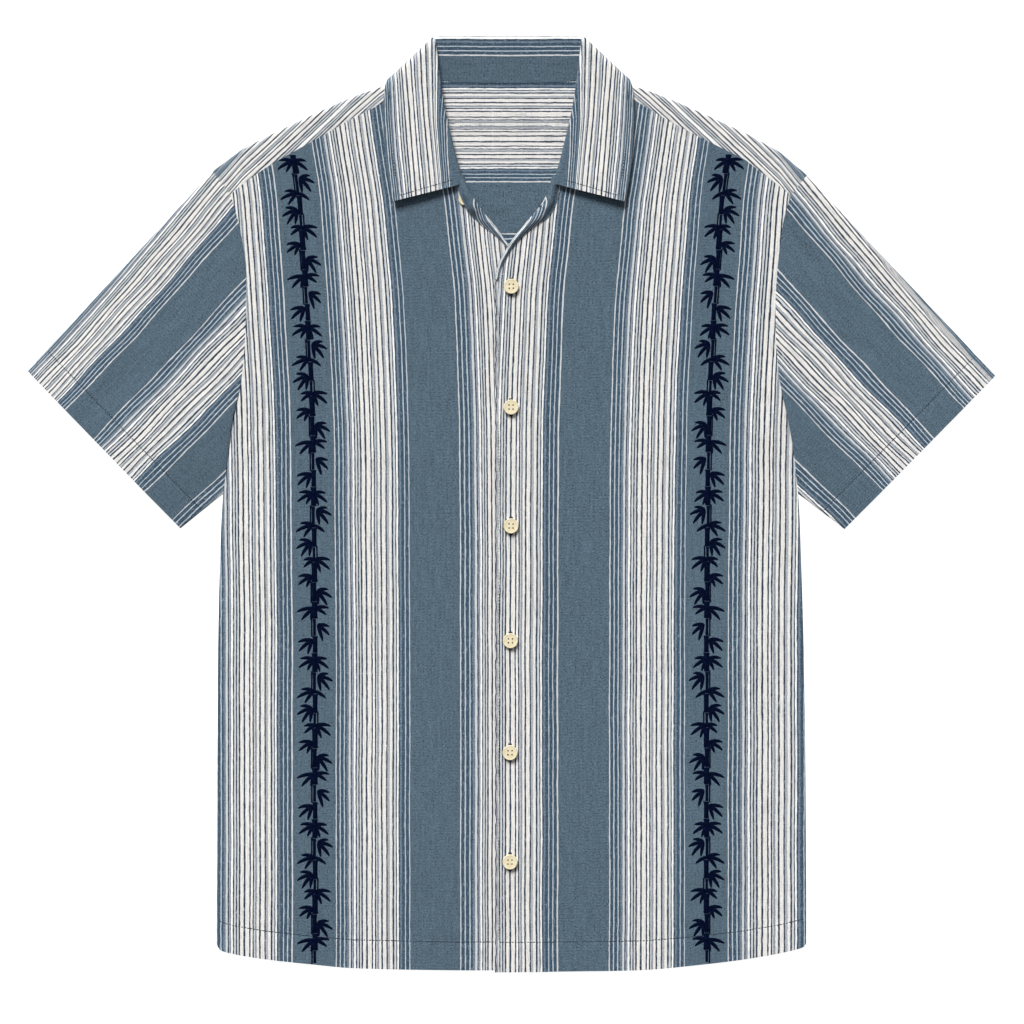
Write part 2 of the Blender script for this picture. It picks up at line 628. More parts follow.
def yoke_shoulder(side, out, v):
    """A point of the yoke at a shoulder: behind, round the fold, then down to the front seam."""
    back_x = mix(from_collar(side, YOKE_BACK_OUT), side_edge(side, BACK_YOKE_Y), out)
    fold_x = mix(from_collar(side, YOKE_FOLD_OUT), SLEEVE[side]["shoulder"][0], out)
    fold = fold_x, read(SHOULDER, abs(fold_x), column_of(side))
    front = yoke_seam_of[side](1 - out)
    inward = heading(fold, front)
    low = WALL / 2 + neck_raise(*fold)
    high = upper_layer(*front) + WALL / 2
    radius = (high - low) / 2
    start = shifted(fold, inward, WALL / 2 + radius)
    if v <= BEHIND:
        return yoke_behind(*mix_flat((back_x, BACK_YOKE_Y), start, v / BEHIND))
    if v <= OVER:
        angle = math.pi * ((v - BEHIND) / (OVER - BEHIND) - 0.5)
        x, y = shifted(fold, inward, WALL / 2 + radius * (1 - math.cos(angle)))
        return x, y, (low + high) / 2 + radius * math.sin(angle)
    share = (v - OVER) / (1 - OVER)
    x, y = mix_flat(start, front, share)
    dip = 0.3 * smooth(0.88, 1, share) + ARMHOLE_DIP * smooth(0.985, 1, out)
    return x, y, high - dip + 0.15 * math.sin(x / 9) * math.sin(math.pi * share)


def yoke_neck(side, out, v):
    """A point of the yoke between the shoulders, up to the collar's seam."""
    foot = from_collar(side, out * YOKE_BACK_OUT), BACK_YOKE_Y
    neck = from_collar(side, out * YOKE_FOLD_OUT), neck_seam_y(out * YOKE_FOLD_OUT) - 0.1
    return yoke_behind(*mix_flat(foot, neck, min(v / BEHIND, 1)))


yoke_seam_of = {side: yoke_seam(side) for side in SIDES}


def strip_stripes(side, x, y):
    """Stripes on the strip in front of a shoulder, which run up to its folded edge at a slant."""
    inward = abs(SLEEVE[side]["shoulder"][0] - x) / STRIP_SLOPE / MARK
    down = (read(SHOULDER, abs(x), column_of(side)) - y) * STRIP_SLOPE / MARK
    mark = read(STRIP_MARKS, 0.3 * inward + 0.0004 * inward**2 + down)
    return mark / MARKS + FULL, inward * MARK / REPEAT


def make_yoke(material):
    """The yoke: flat behind, folded forward over both shoulders, open at the neck."""
    def place(u, v):
        if u < NECK_FROM:
            return yoke_shoulder("right", 1 - u / NECK_FROM, v)
        if u > NECK_TO:
            return yoke_shoulder("left", (u - NECK_TO) / (1 - NECK_TO), v)
        middle = (NECK_FROM + NECK_TO) / 2
        side = "right" if u < middle else "left"
        return yoke_neck(side, abs(u - middle) / (NECK_TO - middle), v)

    def stripes(u, v, point):
        x, y, _ = point
        behind = read(YOKE_MARKS, y) / MARKS + FULL, x / REPEAT
        if NECK_FROM <= u <= NECK_TO or v < BEHIND - 0.12:
            return behind
        strip = strip_stripes("right" if x < 0 else "left", x, y)
        return mix_flat(behind, strip, smooth(BEHIND - 0.12, BEHIND + 0.04, v))

    def kept(u, v):
        return v < BEHIND or u < NECK_FROM or u > NECK_TO

    bm = cloth_grid(150, 100, place, stripes, kept=kept, turned=True, wander=1.3)
    return finish_piece("yoke_cloth", bm, material, "yoke", CLOTH)


# Around a sleeve: top fold, upper layer, underarm fold, lower layer
TOP_FOLD, UPPER, UNDER_FOLD = 0.06, 0.5, 0.56


def sleeve_parts(side):
    rows = [row for row in reversed(SIDE_EDGE) if row[0] >= UNDERARM_Y]
    shoulder = SLEEVE[side]["shoulder"]
    armhole = [(row[column_of(side)], row[0]) for row in rows]
    return {
        "hem": edge_through([SLEEVE[side]["hem_top"], SLEEVE[side]["hem_under"]]),
        "upper": edge_through([shoulder, *armhole]),
        "lower": edge_through([shoulder, *[spot for spot in armhole if spot[1] < BACK_YOKE_Y]]),
    }


def sleeve_point(parts, around, along):
    """A point of a sleeve's cloth: around from the top fold, along from the hem to the armhole."""
    width = math.dist(parts["hem"](0), parts["hem"](1))
    air = AIR + SEAM_GAP * along
    top_gap, under_gap = mix(0.8, air, along**1.5), mix(0.6, 0.35, along)

    def flat(s, hole="upper"):
        return mix_flat(parts["hem"](s), parts[hole](s), along)

    def folded(s, radius, way, share):
        spot = flat(s)
        angle = math.pi * (share - 0.5) * way
        reach = WALL / 2 + radius * (1 - math.cos(angle))
        x, y = shifted(spot, heading(spot, flat(s + way * 0.01)), reach)
        return x, y, WALL / 2 + radius * (1 + math.sin(angle))

    top_radius, under_radius = (top_gap + WALL) / 2, (under_gap + WALL) / 2
    ends = (top_radius + WALL / 2) / width, 1 - (under_radius + WALL / 2) / width
    if around < TOP_FOLD:
        return folded(0, top_radius, 1, around / TOP_FOLD)
    if around < UPPER:
        s = mix(*ends, (around - TOP_FOLD) / (UPPER - TOP_FOLD))
        x, y = flat(s)
        edge = mix(top_gap, under_gap, smooth(0, 1, s))
        free = smooth(0, 0.3, s) * smooth(1, 0.72, s)
        calm = smooth(0, 0.2, s) * smooth(1, 0.8, s)
        length = math.dist(parts["hem"](s), parts["upper"](s))
        z = 1.5 * WALL + mix(edge, air, free)
        z += turned_hem(along * length, s * width / 2.1)
        z += (folds_at(CREASES, x, y) - folds_at(WAVES, x, y)) * calm
        return x, y, z - ARMHOLE_DIP * smooth(SEAM_WIDTH, 0, length - along * length)
    if around < UNDER_FOLD:
        return folded(1, under_radius, -1, (around - UPPER) / (UNDER_FOLD - UPPER))
    x, y = flat(mix(*reversed(ends), (around - UNDER_FOLD) / (1 - UNDER_FOLD)), "lower")
    return x, y, WALL / 2


def make_sleeve(side, material):
    """A sleeve, sewn into a tube and laid flat, whose stripes bend towards the armhole."""
    parts = sleeve_parts(side)
    top = parts["hem"](0)
    across = heading(top, parts["hem"](1))
    inward = across[1] * sign_of(side), -across[0] * sign_of(side)

    def stripes(u, v, point):
        x, y = point[0] - top[0], point[1] - top[1]
        out = x * across[0] + y * across[1]
        deep = max(x * inward[0] + y * inward[1], 0.0)
        if u > (UPPER + UNDER_FOLD) / 2 or u < TOP_FOLD / 2:
            return read(SLEEVE_MARKS[side], -out) / MARKS + FULL, deep / REPEAT
        lean = 8.4 * (deep / 132) ** 1.3 * (1 - out / 176)
        sway = 0.45 * math.sin(deep / 19 + out / 7) + 0.35 * math.sin(deep / 11 + 1.4 - out / 9)
        at = out + lean + sway * smooth(0, 14, out)
        return read(SLEEVE_MARKS[side], at) / MARKS + FULL, deep / REPEAT

    def place(u, v):
        return sleeve_point(parts, u % 1.0, v)

    bm = cloth_grid(150, 72, place, stripes, turned=side == "right", tube=True, wander=1.35)
    name = f"{side}_sleeve_cloth"
    return finish_piece(name, bm, material, f"sleeve_{side}", CLOTH)


# Across the collar: stand up to STAND, roll up to ROLL, then the fall
STAND, ROLL = 0.3, 0.42


def collar_row(k):
    """The collar's table read smoothly between its rows."""
    last = len(COLLAR) - 1
    low = min(int(k), last - 1)
    rows = [COLLAR[min(max(low + step, 0), last)] for step in (-1, 0, 1, 2)]
    return [curve(k - low, b, c, (c - a) / 2, (d - b) / 2) for a, b, c, d in zip(*rows)]


def collar_point(sign, row, across):
    """One point of a collar section: stand, roll, fall."""
    turn, neck, roll, end = row[0], row[1:4], row[4:7], row[7:10]
    neck, roll, end = (
        Vector((COLLAR_CENTRE_X + sign * out, y, z)) for out, y, z in (neck, roll, end)
    )
    bulk = (neck + end) / 2
    ahead = Vector((roll.x - bulk.x, roll.y - bulk.y, 0)).normalized()
    angle = math.radians(min(max(turn, -90), 90))
    sideways = Vector((-ahead.y, ahead.x, 0)) * sign * math.cos(angle)
    to_stand = (sideways + Vector((0, 0, -math.sin(angle)))).normalized()
    centre = roll - ahead * ROLL_RADIUS

    def on_roll(degrees):
        a = math.radians(degrees)
        return centre + (to_stand * math.cos(a) + ahead * math.sin(a)) * ROLL_RADIUS

    if across < STAND:
        return neck.lerp(on_roll(0), across / STAND)
    if across < ROLL:
        return on_roll(180 * (across - STAND) / (ROLL - STAND))
    share = (across - ROLL) / (1 - ROLL)
    start = on_roll(180)
    point = start.lerp(end, share)
    point.z = mix(start.z, end.z, 1 - (1 - share) ** 2)
    return point


def leaf_mark(out, y):
    """The stripes' mark on a leaf, from the distance out and y."""
    places = [read(LEAF_MARKS, y, k) for k in (1, 2, 3, 4)]
    table = [
        (places[3] - 40 * MARK, -(GROUND + 40)), (places[3], -GROUND), (places[2], -MOTTLED),
        (places[1], -PIN_30), (places[0], -WHITE_13), (places[0] + 6, 0), (places[0] + 30, 24),
    ]
    return -read(table, out)


def make_collar(material):
    """The folded collar, from the end of one leaf round the neck to the other."""
    last = len(COLLAR) - 1
    middle = 0.5
    behind_mark = 59.6      # of the stripes along the roll behind the neck
    leaf_top_y, leaf_top_run = 411, 120
    stand_top_y = 366       # behind it the stand is striped as the back is

    def section(u):
        return (-1 if u < middle else 1), collar_row(abs(u - middle) / middle * last)

    def place(u, v):
        sign, row = section(u)
        return collar_point(sign, row, v)

    def stripes(u, v, point):
        sign, row = section(u)
        roll = collar_point(sign, row, (STAND + ROLL) / 2)
        stand_side = v < (STAND + ROLL) / 2
        from_roll = (point - roll).length / MARK
        behind = behind_mark + (from_roll if stand_side else -from_roll)
        spot = roll if stand_side else point
        on_leaf = leaf_mark(abs(spot.x - COLLAR_CENTRE_X), spot.y)
        on_leaf += from_roll if stand_side else 0
        share = 0.0 if stand_side and roll.y > stand_top_y else smooth(-60, 50, row[0])
        along = mix(abs(point.x), leaf_top_run - point.y + leaf_top_y, share)
        return mix(behind, on_leaf, share) / MARKS + FULL, along / REPEAT

    bm = cloth_grid(190, 56, place, stripes)
    return finish_piece("collar_cloth", bm, material, "collar", COLLAR_CLOTH)


def rolled_height(side, x, y, v, plump):
    """Height of an edge that is rolled over onto a front: v from the neck edge to the outer one."""
    arch = plump * math.sin(math.pi * min(v * 1.12 + 0.05, 1)) ** 0.7
    return front_top(side, x, y) + CLOTH / 2 + 0.05 + arch - 0.7 * smooth(0.2, 0, v)


def make_facing(side, material):
    """The turned edge of a front facing, rolled over the neck edge onto the front."""
    rows = TURNED_EDGE[side]
    edge = edge_through([row[:2] for row in rows])
    outer = edge_through([row[2:] for row in rows])
    first, last = FACING_LINES[side]
    neck_marks = [(0, 80), (first, 79), (last, 58.5), (1, 57)]
    outer_marks = [(0, 92), (first + 0.15, 88), (last + 0.16, 73), (1, 70)]

    def place(u, v):
        x, y = mix_flat(edge(u), outer(u), 1.08 * v - 0.08)
        lift = 0.0
        if side == "right":     # it lies over a part of the neck button
            lift = 2.3 * smooth(20, 9, math.dist((x, y), NECK_BUTTON))
        ripple = 0.25 * math.sin(u * 33) * math.sin(math.pi * v)
        plump = mix(2.9, 0.8, smooth(0.3, 1, u))
        return x, y, rolled_height(side, x, y, v, plump) + lift + ripple

    def stripes(u, v, point):
        return mix(read(neck_marks, u), read(outer_marks, u), v) / MARKS + FULL, u * 90 / REPEAT

    bm = cloth_grid(90, 12, place, stripes, turned=side == "right", wander=1.6)
    name = f"{side}_turned_facing"
    return finish_piece(name, bm, material, f"facing_{side}", CLOTH)


def make_placket_edge(material):
    """The puckered fold at the edge of the button front, from the facing down to the hem."""
    width, sunk = 3.0, 0.42
    top_y, bottom_y = 197.5, read(HEM, PLACKET_EDGE_X) - 1.0

    def place(u, v):
        y = mix(top_y, bottom_y, u)
        x = PLACKET_EDGE_X + 0.1 + 0.2 * math.sin(y / 11.3) + 0.1 * math.sin(y / 3.1) + width * v
        pucker = 0.2 * math.sin(y / 1.15 + 1.5 * math.sin(y / 9)) + 0.12 * math.sin(y / 2.7)
        return x, y, rolled_height("left", x, y, v, 0.3) - sunk + pucker * math.sin(math.pi * v)

    def stripes(u, v, point):
        y = point[1]
        jump = 0.35 * math.sin(y / 2.3) + 0.3 * math.sin(y / 5.9 + 1)
        return (50.2 + 5 * v + jump) / MARKS + FULL, y / REPEAT

    bm = cloth_grid(420, 5, place, stripes, wander=1.4)
    return finish_piece("placket_edge_roll", bm, material, wall=0.5)


# Sewing and embroidery

def stitch(bm, place, ahead, length, width, lift):
    """One stitch: a low bead of thread along ahead."""
    turn = Vector((1, 0, 0)).rotation_difference(ahead.normalized()).to_matrix().to_4x4()
    size = Matrix.Diagonal((length / 2, width / 2, lift, 1))
    matrix = Matrix.Translation(place * MM) @ turn @ Matrix.Scale(MM, 4) @ size
    bmesh.ops.create_icosphere(bm, subdivisions=1, radius=1, matrix=matrix)


def stitch_row(bm, at, length, pitch=2.7, stitch_length=2.7, width=0.95, lift=0.24):
    """Stitches along a row, where at(t) gives its points."""
    count = round(length / pitch)
    for k in range(count):
        here, after = Vector(at((k + 0.3) / count)), Vector(at((k + 0.7) / count))
        wander = 0.1 * math.sin(2.7 * k)
        place = here.lerp(after, 0.5) + Vector((0, wander, 0.1))
        stitch(bm, place, after - here, stitch_length, width, lift)


def row_length(at):
    """Length of a row, measured in 40 steps."""
    points = [Vector(at(k / 40)) for k in range(41)]
    return sum((b - a).length for a, b in zip(points, points[1:]))


def make_body_stitching(material):
    """Rows that hold the hems and the edge of the placket."""
    bm = bmesh.new()

    def hem_row(side, start, end):
        def at(t):
            x = mix(start, end, t)
            y = read(HEM, x) + HEM_DEPTH
            return x, y, front_top(side, x, y)
        return at

    def placket_row(t):
        y = mix(-384, 168, t)
        x = PLACKET_EDGE_X + PLACKET_ROW_IN + 0.3 * math.sin(y / 19)
        return x, y, front_top("left", x, y)

    right_row = hem_row("right", -257.5, PLACKET_EDGE_X - 0.6)
    left_row = hem_row("left", PLACKET_EDGE_X + 0.8, 257)
    for at in (right_row, left_row, placket_row):
        stitch_row(bm, at, row_length(at))
    return finish_piece("body_stitching", bm, material)


def make_sleeve_stitching(side, material):
    """The row that holds a sleeve's hem."""
    bm = bmesh.new()
    parts = sleeve_parts(side)

    def at(t):
        across = mix(0.01, 0.99, t)
        length = math.dist(parts["hem"](across), parts["upper"](across))
        x, y, z = sleeve_point(parts, mix(TOP_FOLD, UPPER, t), HEM_DEPTH / length)
        return x, y, z + CLOTH / 2

    stitch_row(bm, at, row_length(at))
    return finish_piece(f"{side}_sleeve_stitching", bm, material)


def make_collar_stitching(material):
    """The row beside the free edges of both leaves."""
    bm = bmesh.new()
    corner = len(COLLAR) - 1.33     # row of the collar's table beside the front edge
    beside_edge = 0.935             # and the share of its width beside the outer edge
    for sign in (-1, 1):
        def lifted(k, across):
            point = collar_point(sign, collar_row(k), across)
            return point + Vector((0, 0, COLLAR_CLOTH / 2))

        def front_row(t):
            return lifted(corner, mix(ROLL + 0.06, beside_edge, t))

        def outer_row(t):
            return lifted(mix(corner, 8.4, t), beside_edge)

        for at in (front_row, outer_row):
            stitch_row(bm, at, row_length(at), stitch_length=2.4, width=0.8)
    return finish_piece("collar_stitching", bm, material)


def make_seam_stitching(material):
    """Stitches that show in the collar's seam behind and at the upper ends of the armholes."""
    bm = bmesh.new()

    def collar_seam(t):
        x = mix(-66, 61, t)
        return x, neck_seam_y(abs(x - COLLAR_CENTRE_X)) - 0.9, 3.6

    stitch_row(bm, collar_seam, 127, pitch=2.4, stitch_length=1.6, width=0.7)
    for side in SIDES:
        armhole = sleeve_parts(side)["upper"]

        def at(t):
            x, y = armhole(mix(0.012, 0.17, t))
            return x - sign_of(side) * 0.3, y, front_top(side, x, y) - 0.5

        stitch_row(bm, at, row_length(at), pitch=2.5, stitch_length=1.9, width=0.8)
    finish_piece("seam_stitching", bm, material)


def make_buttonholes(material):
    """Upright buttonholes: two close rows of satin stitch with a bar at each end."""
    bm = bmesh.new()
    half, apart, steps, bars = 7.2, 0.75, 38, 5

    def on_front(x, y, above):
        return Vector((x, y, front_top("left", x, y) + above))

    for x, y in BUTTONS:
        for k in range(steps + 1):
            at_y = y - half + 2 * half * k / steps
            ahead = Vector((1, 0.12 * math.sin(k), 0))
            for way in (-1, 1):
                place = on_front(x + way * apart, at_y, 0.08)
                stitch(bm, place, ahead, length=1.35, width=0.5, lift=0.26)
        for way in (-1, 1):
            for k in range(bars):
                at_y = y + way * (half + 0.2 + 0.3 * math.sin(2.4 * k))
                place = on_front(x + (k - bars // 2) * 0.72, at_y, 0.15)
                stitch(bm, place, Vector((0, 1, 0)), length=1.9, width=0.6, lift=0.3)
    return finish_piece("buttonholes", bm, material)


def bamboo_x(side, y):
    """Middle of the embroidered band, which leans with the stripes."""
    return BAMBOO_X[side] + sign_of(side) * read(LEAN, y, 2)


def satin_patch(bm, pattern, side, along_steps, across_steps, outline, height):
    """A raised patch of satin stitch: outline(t, w) gives flat points and their spots in the
    pattern, height(t, w) its rise."""
    made = bmesh.ops.create_grid(bm, x_segments=along_steps, y_segments=across_steps, size=0.5)
    for vert in made["verts"]:
        t, w = vert.co.x + 0.5, 2 * vert.co.y
        x, y, run, over = outline(t, w)
        vert.co = Vector((x, y, front_top(side, x, y) - 0.05 + height(t, w))) * MM
        for loop in vert.link_loops:
            loop[pattern].uv = run, over


def bamboo_leaf(bm, pattern, side, start, angle, length):
    """A pointed leaf from its knot, at an angle from straight down, drooping along its length."""
    width = 2.9 + 0.05 * length

    def outline(t, w):
        bend = math.radians(angle * (1 - 0.1 * t * t))
        reach = 1.12 * length * t
        half = 0.5 * width * math.sin(math.pi * (0.07 + 0.87 * t**0.9)) ** 0.65
        x = start[0] + math.sin(bend) * reach + math.cos(bend) * half * w
        y = start[1] - math.cos(bend) * reach + math.sin(bend) * half * w
        return x, y, reach, half * w

    def height(t, w):
        return 0.7 * math.sqrt(max(1 - w * w, 0)) * (1 - 0.5 * t)

    satin_patch(bm, pattern, side, 9, 4, outline, height)


def bamboo_cane(bm, pattern, side, top, bottom, half_width, shift):
    """One length of cane between two joints, waisted, with a swollen joint above."""
    def outline(t, w):
        y = mix(top, bottom, t)
        swell = 0.28 * math.exp(-((t / 0.12) ** 2)) + 0.16 * math.exp(-(((1 - t) / 0.12) ** 2))
        half = half_width * (0.92 + swell)
        x = bamboo_x(side, y) + shift + half * w
        return x, y, top - y, half * w

    def height(t, w):
        ends = smooth(0, 0.05, t) * smooth(1, 0.95, t)
        return (0.2 + 0.6 * ends) * math.sqrt(max(1 - w * w, 0))

    satin_patch(bm, pattern, side, 12, 4, outline, height)


def make_bamboo(side, material):
    """The embroidered column: a jointed cane with sprays of drooping leaves on both sides."""
    bm = bmesh.new()
    pattern = bm.loops.layers.uv.new("thread")
    seam_x = abs(bamboo_x(side, 318))
    top = read(FRONT_YOKE_SEAM, seam_x, column_of(side)) - BAMBOO_MARGIN
    bottom = read(HEM, BAMBOO_X[side]) + BAMBOO_MARGIN
    way = sign_of(side)
    start = top
    while start > bottom:
        for (near, half_width, second), (far, _, _) in zip(CANES, CANES[1:]):
            y_from, y_to = start - near, max(start - far + 0.3, bottom)
            if y_from - y_to < SHORTEST_CANE:
                continue
            shift = 0.45 * way * math.sin(1.9 * near)
            bamboo_cane(bm, pattern, side, y_from, y_to, half_width, shift)
            if second:
                shift = 0.8 * way * second
                bamboo_cane(bm, pattern, side, y_from + 1, y_to - 1, THIN_CANE, shift)
        for down, beside, leaves in SPRAYS:
            y = start - down
            if y - SPRAY_DEPTH < bottom:
                continue
            for angle, length in leaves:
                lowest = y - length * max(math.cos(math.radians(angle * 0.7)), 0) - BAMBOO_MARGIN
                if lowest > bottom and y < top:
                    spot = bamboo_x(side, y) + way * beside, y
                    bamboo_leaf(bm, pattern, side, spot, way * angle, length)
        start -= BAMBOO_LENGTH
    return finish_piece(f"{side}_bamboo_embroidery", bm, material)


# Buttons

def make_button(name, node, place, sizes, material, thread):
    """A sewn-through button: turned rim and dish, and four drilled holes with crossed threads."""
    radius, thick, rim, dish, hole, offset = sizes
    floor = thick - dish
    inner = radius - rim - 1.1
    profile = [
        (0.3, 0.0), (radius - 1.2, 0.0), (radius - 0.45, 0.2), (radius - 0.05, thick * 0.45),
        (radius, thick * 0.65), (radius - 0.2, thick - 0.3), (radius - rim * 0.45, thick),
        (radius - rim * 0.8, thick - 0.05), (radius - rim, thick - dish * 0.45),
        (inner + 0.5, floor + 0.05), (inner, floor),
    ]
    bm = bmesh.new()
    verts = [bm.verts.new(Vector((r, 0, z))) for r, z in profile]
    edges = [bm.edges.new(pair) for pair in zip(verts, verts[1:])]
    bmesh.ops.spin(
        bm, geom=verts + edges, cent=(0, 0, 0), axis=(0, 0, 1), angle=2 * math.pi, steps=40,
        use_merge=True, use_duplicate=False,
    )
    ring = [
        edge for edge in bm.edges
        if edge.is_boundary and all(abs(v.co.to_2d().length - inner) < 0.01 for v in edge.verts)
    ]
    middles = [(x, y) for x in (-offset, offset) for y in (-offset, offset)]
    holes = []
    for x, y in middles:
        made = bmesh.ops.create_circle(
            bm, cap_ends=False, segments=14, radius=hole, matrix=Matrix.Translation((x, y, floor)),
        )
        holes.extend(dict.fromkeys(edge for vert in made["verts"] for edge in vert.link_edges))
    for edge in holes:
        edge.smooth = False
    bmesh.ops.triangle_fill(bm, edges=ring + holes, use_beauty=True)
    sunk = bmesh.ops.extrude_edge_only(bm, edges=holes)["geom"]
    sunk_verts = [v for v in sunk if isinstance(v, bmesh.types.BMVert)]
    hole_floor = 0.15
    bmesh.ops.translate(bm, verts=sunk_verts, vec=(0, 0, -floor + hole_floor))
    bmesh.ops.holes_fill(bm, edges=[e for e in bm.edges if e.is_boundary], sides=0)
    bmesh.ops.recalc_face_normals(bm, faces=bm.faces)
    bm.transform(Matrix.Translation(Vector(place) * MM) @ Matrix.Scale(MM, 4))
    finish_piece(name, bm, material, node)

    crossed = bmesh.new()
    for x, y in middles:
        for turn in (0.5, 2.1):
            ahead = Vector((math.cos(turn), math.sin(turn), 0))
            spot = Vector(place) + Vector((x, y, floor * 0.3)) + ahead * 0.1
            stitch(crossed, spot, ahead, length=1.7 * hole, width=0.5, lift=0.4)
    finish_piece(f"{name}_thread", crossed, thread)


# Materials

def linear(code):
    """An sRGB hex colour as linear RGBA."""
    parts = [int(code[k:k + 2], 16) / 255 for k in (1, 3, 5)]
    return [c / 12.92 if c <= 0.04045 else ((c + 0.055) / 1.055) ** 2.4 for c in parts] + [1.0]


def plug(tree, node, inputs):
    """Sets a node's inputs, or links them where the value is another node's output."""
    for socket, value in inputs.items():
        if isinstance(value, bpy.types.NodeSocket):
            tree.links.new(value, node.inputs[socket])
        else:
            node.inputs[socket].default_value = value


def add(tree, kind, inputs, **settings):
    """Adds a node with its settings and links."""
    node = tree.nodes.new(kind)
    for key, value in settings.items():
        setattr(node, key, value)
    plug(tree, node, inputs)
    return node


def new_material(name):
    material = bpy.data.materials.new(name)
    material.use_nodes = True
    tree = material.node_tree
    return material, tree, tree.nodes["Principled BSDF"]


# A Mix node's sockets for the two colours that it mixes, and for the mixed one
UNDER, COVER, MIXED = 6, 7, 2


def yarn_dyed_cloth():
    """Pressed cotton and linen shirting, woven from dyed yarns: matt, with slubs, and with
    stripes whose edges wander by a yarn or two."""
    material, tree, shader = new_material("yarn_dyed_shirting")
    spot = add(tree, "ShaderNodeUVMap", {}, uv_map="stripes").outputs[0]
    across, along, _ = add(tree, "ShaderNodeSeparateXYZ", {0: spot}).outputs

    def threads(over, down, detail=2.0):
        """Noise whose grains are 1/over of a repeat wide and 1/down long."""
        scaled = add(tree, "ShaderNodeMapping", {"Vector": spot, "Scale": (over, down, 1)})
        return add(
            tree, "ShaderNodeTexNoise",
            {"Vector": scaled.outputs[0], "Scale": 1.0, "Detail": detail, "Roughness": 0.6},
            noise_dimensions="2D",
        ).outputs["Fac"]

    def layered(start, patterns):
        """The start and each pattern on it, by its share."""
        for pattern, share in patterns:
            parts = {0: pattern, 1: share, 2: start}
            start = add(tree, "ShaderNodeMath", parts, operation="MULTIPLY_ADD").outputs[0]
        return start

    # The stripes wander, by up to 0.3 mm over 12 by 38 mm and 0.4 mm over 2 by 7 mm
    slow, quick = 0.6 / REPEAT, 0.75 / REPEAT
    wander = layered(-(slow + quick) / 2, [(threads(9, 2.8), slow), (threads(62, 15), quick)])
    stray = add(tree, "ShaderNodeAttribute", {}, attribute_name="wander").outputs["Fac"]
    moved = layered(across, [(wander, stray)])
    turn = add(tree, "ShaderNodeMath", {0: moved}, operation="FRACT").outputs[0]

    half = STRIPES[HALFWAY][0]
    halves = []
    for charted, low, high in ((STRIPES[:HALFWAY], 0, half), (STRIPES[HALFWAY:], half, MARKS)):
        part = {"Value": turn, "From Min": low / MARKS, "From Max": high / MARKS}
        ramp = add(
            tree, "ShaderNodeValToRGB", {0: add(tree, "ShaderNodeMapRange", part).outputs[0]},
        )
        ramp.color_ramp.interpolation = "CONSTANT"
        stops = ramp.color_ramp.elements
        stops.remove(stops[1])
        for start, yarn in charted:
            at = (start - low) / (high - low)
            stop = stops.new(at) if at else stops[0]
            stop.color = linear(YARNS[yarn])
        halves.append(ramp.outputs[0])

    # The second repeat on each front ends one pin earlier
    first, last = 1 + LAST_PIN_LEFT_OUT / MARKS, 1.9
    later = add(tree, "ShaderNodeMath", {0: turn, 1: half / MARKS}, operation="GREATER_THAN")
    after = add(tree, "ShaderNodeMath", {0: moved, 1: first}, operation="GREATER_THAN").outputs[0]
    before = add(tree, "ShaderNodeMath", {0: moved, 1: last}, operation="LESS_THAN").outputs[0]
    left_out = add(tree, "ShaderNodeMath", {0: after, 1: before}, operation="MULTIPLY")
    dyed = halves[0]
    for share, cover in ((later, halves[1]), (left_out, linear(YARNS["ground"]))):
        parts = {0: share.outputs[0], UNDER: dyed, COVER: cover}
        dyed = add(tree, "ShaderNodeMix", parts, data_type="RGBA").outputs[MIXED]
    pale = add(tree, "ShaderNodeRGBToBW", {0: dyed}).outputs[0]

    # Dark pins break up where a slub of the pale yarn lies over them, and pale stripes carry
    # faint lines of their own warp
    woven = dyed
    for grains, (rare, often), (low, high), most, yarn in (
        (threads(80, 30, 3), (0.58, 0.70), (0.13, 0.05), 0.45, "steel"),
        (threads(150, 5), (0.50, 0.66), (0.5, 0.8), 0.38, "grey"),
    ):
        where, on_what = (
            add(tree, "ShaderNodeMapRange", reading).outputs[0] for reading in (
                {"Value": grains, "From Min": rare, "From Max": often},
                {"Value": pale, "From Min": low, "From Max": high, "To Max": most},
            )
        )
        share = add(tree, "ShaderNodeMath", {0: where, 1: on_what}, operation="MULTIPLY")
        parts = {0: share.outputs[0], UNDER: woven, COVER: linear(YARNS[yarn])}
        woven = add(tree, "ShaderNodeMix", parts, data_type="RGBA").outputs[MIXED]

    # Plain weave with a heavier weft every 2.64 mm, all drawn coarser than the real 0.3 mm
    # threads, which are too fine to show
    rows = layered(0.0, [(along, 2 * math.pi * REPEAT / 2.64), (threads(26, 12), 9.0)])
    heavy = add(tree, "ShaderNodeMath", {0: rows}, operation="SINE").outputs[0]
    streak = 0.22
    weave = layered(-1 - streak, [
        (threads(190, 95), 1.0), (threads(75, 190), 1.0), (heavy, 0.034),
        (threads(50, 4), streak), (threads(16, 60), streak),
    ])
    depth = add(tree, "ShaderNodeMapRange", {
        "Value": pale, "From Min": 0.15, "From Max": 0.6, "To Min": 2.25, "To Max": 0.55,
    }).outputs[0]
    patches = 0.10
    tone = layered(1 - patches / 2, [(weave, depth), (threads(2.5, 2.0, 4), patches)])
    look = add(tree, "ShaderNodeHueSaturation", {"Color": woven, "Value": tone})
    relief = add(tree, "ShaderNodeBump", {"Height": weave, "Strength": 0.35, "Distance": 0.00025})
    plug(tree, shader, {
        "Base Color": look.outputs[0], "Normal": relief.outputs[0], "Roughness": 0.88,
        "Sheen Weight": 0.08, "Sheen Roughness": 0.5, "Specular IOR Level": 0.25,
    })
    return material


